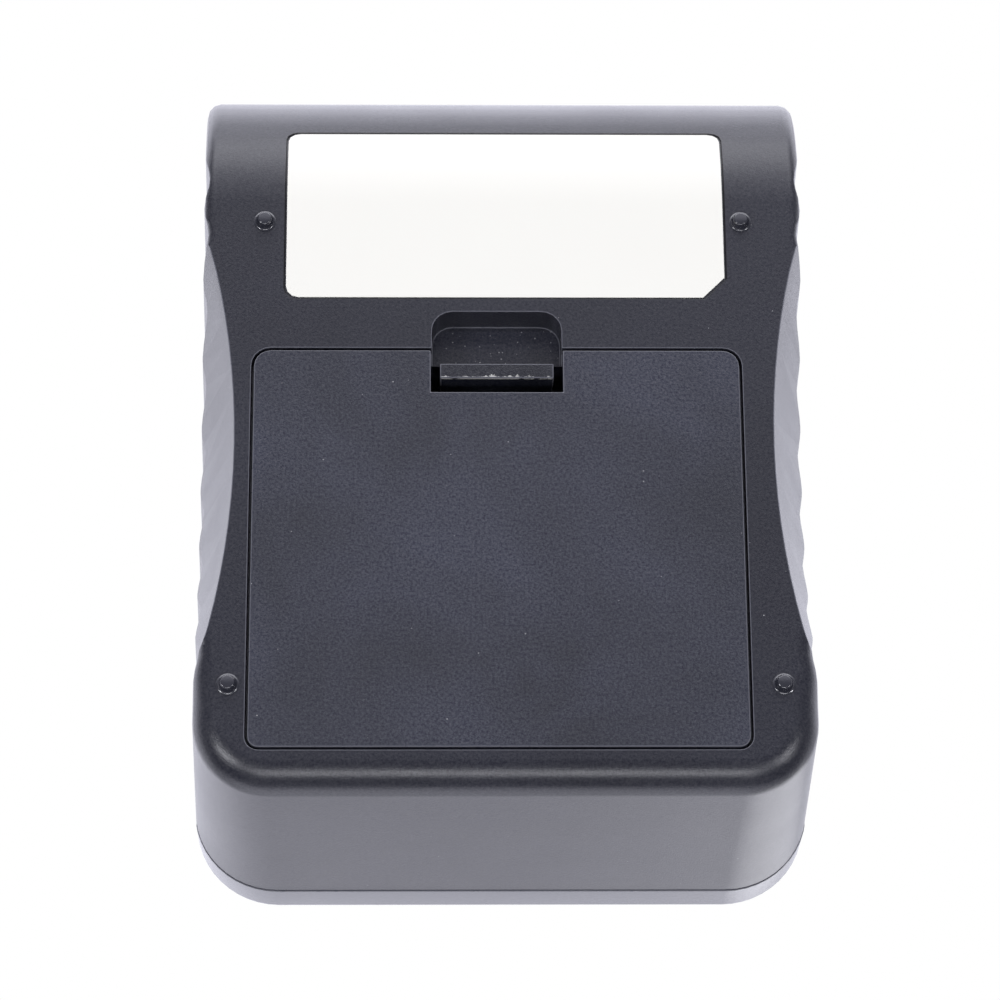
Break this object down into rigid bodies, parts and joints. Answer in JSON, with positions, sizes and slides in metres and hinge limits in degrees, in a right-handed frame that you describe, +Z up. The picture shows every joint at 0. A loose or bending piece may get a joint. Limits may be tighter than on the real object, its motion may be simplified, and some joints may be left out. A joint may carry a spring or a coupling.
{
  "type": "portable thermal printer",
  "caption": "Pocket thermal printer in a waisted case with a hinged paper lid over the roll, a battery door with a spring catch, a platen and a sprung print head.",
  "frame": {"origin": "bottom centre of the printer, on the plane its feet stand on", "axes": "+Z up, -Y towards the control panel (front), +Y towards the rounded paper roll end"},
  "size_m": [0.083, 0.1076, 0.0495],
  "materials": {
    "case_dark": "fine spark texture, satin",
    "case_grey": "fine spark texture, satin",
    "lid_dark": "fine spark texture, satin",
    "cover_dark": "fine spark texture, satin",
    "label": "bare white film",
    "foot": "smooth",
    "button": "smooth",
    "light": "clear, frosted",
    "board": "solder mask",
    "switch": "moulded",
    "steel": "bright",
    "battery": "shrink sleeve",
    "brass": "plain",
    "inner": "moulded",
    "ceramic": "glazed ceramic strip",
    "heatsink": "bare",
    "platen_rubber": "ground",
    "gear": "natural acetal"
  },
  "bodies": {
    "case": {"lower_case": "case_dark", "top_case": "case_grey", "rating_label": "label", "foot_front_left": "foot", "foot_front_right": "foot", "foot_rear_left": "foot", "foot_rear_right": "foot", "tear_bar": "steel", "battery_light": "light", "status_light": "light", "wireless_light": "light", "keypad_board": "board", "power_switch": "switch", "feed_switch": "switch", "main_board": "board", "usb_socket": "steel", "battery_pack": "battery", "battery_contacts": "brass", "paper_bin": "inner", "mechanism_frame": "inner", "head_pivot_pin": "steel", "head_spring_left": "steel", "head_spring_right": "steel", "idler_pin": "steel", "stepper_motor": "steel", "hinge_pin_left": "steel", "hinge_pin_right": "steel", "case_screw_left": "steel", "case_screw_right": "steel", "mechanism_screw_left": "steel", "mechanism_screw_right": "steel", "board_screw_left": "steel", "board_screw_right": "steel", "keypad_screw_left": "steel", "keypad_screw_right": "steel"},
    "lid": {"paper_lid": "lid_dark", "platen_bush_left": "gear", "platen_bush_right": "gear"},
    "platen": {"platen_roller": "platen_rubber", "platen_shaft": "steel", "platen_gear": "gear"},
    "head": {"print_head": "ceramic", "head_sink": "heatsink"},
    "idler": {"idler_gear": "gear"},
    "pinion": {"motor_pinion": "brass"},
    "power_key": {"power_button": "button"},
    "feed_key": {"feed_button": "button"},
    "battery_door": {"battery_cover": "cover_dark"}
  },
  "joints": [
    {"name": "lid_hinge", "type": "hinge", "parent": "case", "child": "lid", "pos_m": [0, 0.05095, 0.028], "axis": [-1, 0, 0], "range_deg": [0, 90]},
    {"name": "platen_spin", "type": "hinge", "parent": "lid", "child": "platen", "pos_m": [0, 0.0035, 0.0406], "axis": [1, 0, 0], "continuous": true},
    {"name": "idler_spin", "type": "hinge", "parent": "case", "child": "idler", "pos_m": [0, -0.00981, 0.0351], "axis": [1, 0, 0], "continuous": true},
    {"name": "pinion_spin", "type": "hinge", "parent": "case", "child": "pinion", "pos_m": [0, -0.02164, 0.0331], "axis": [1, 0, 0], "continuous": true},
    {"name": "head_pivot", "type": "hinge", "parent": "case", "child": "head", "pos_m": [0, -0.0054, 0.0292], "axis": [1, 0, 0], "range_deg": [0, 2], "stiffness_Nm_per_rad": 2, "springref_deg": -3.44},
    {"name": "power_press", "type": "slide", "parent": "case", "child": "power_key", "axis": [0, 0, -1], "range_m": [0, 0.0006], "stiffness_N_per_m": 1500, "springref_m": -0.0003},
    {"name": "feed_press", "type": "slide", "parent": "case", "child": "feed_key", "axis": [0, 0, -1], "range_m": [0, 0.0006], "stiffness_N_per_m": 1500, "springref_m": -0.0003},
    {"name": "battery_door_hinge", "type": "hinge", "parent": "case", "child": "battery_door", "pos_m": [0, -0.0469, 0.0013], "axis": [-1, 0, 0], "range_deg": [0, 60]}
  ],
  "couplings": [
    {"joint": "idler_spin", "follows": "platen_spin", "ratio": -0.6},
    {"joint": "pinion_spin", "follows": "platen_spin", "ratio": 1.8}
  ]
}
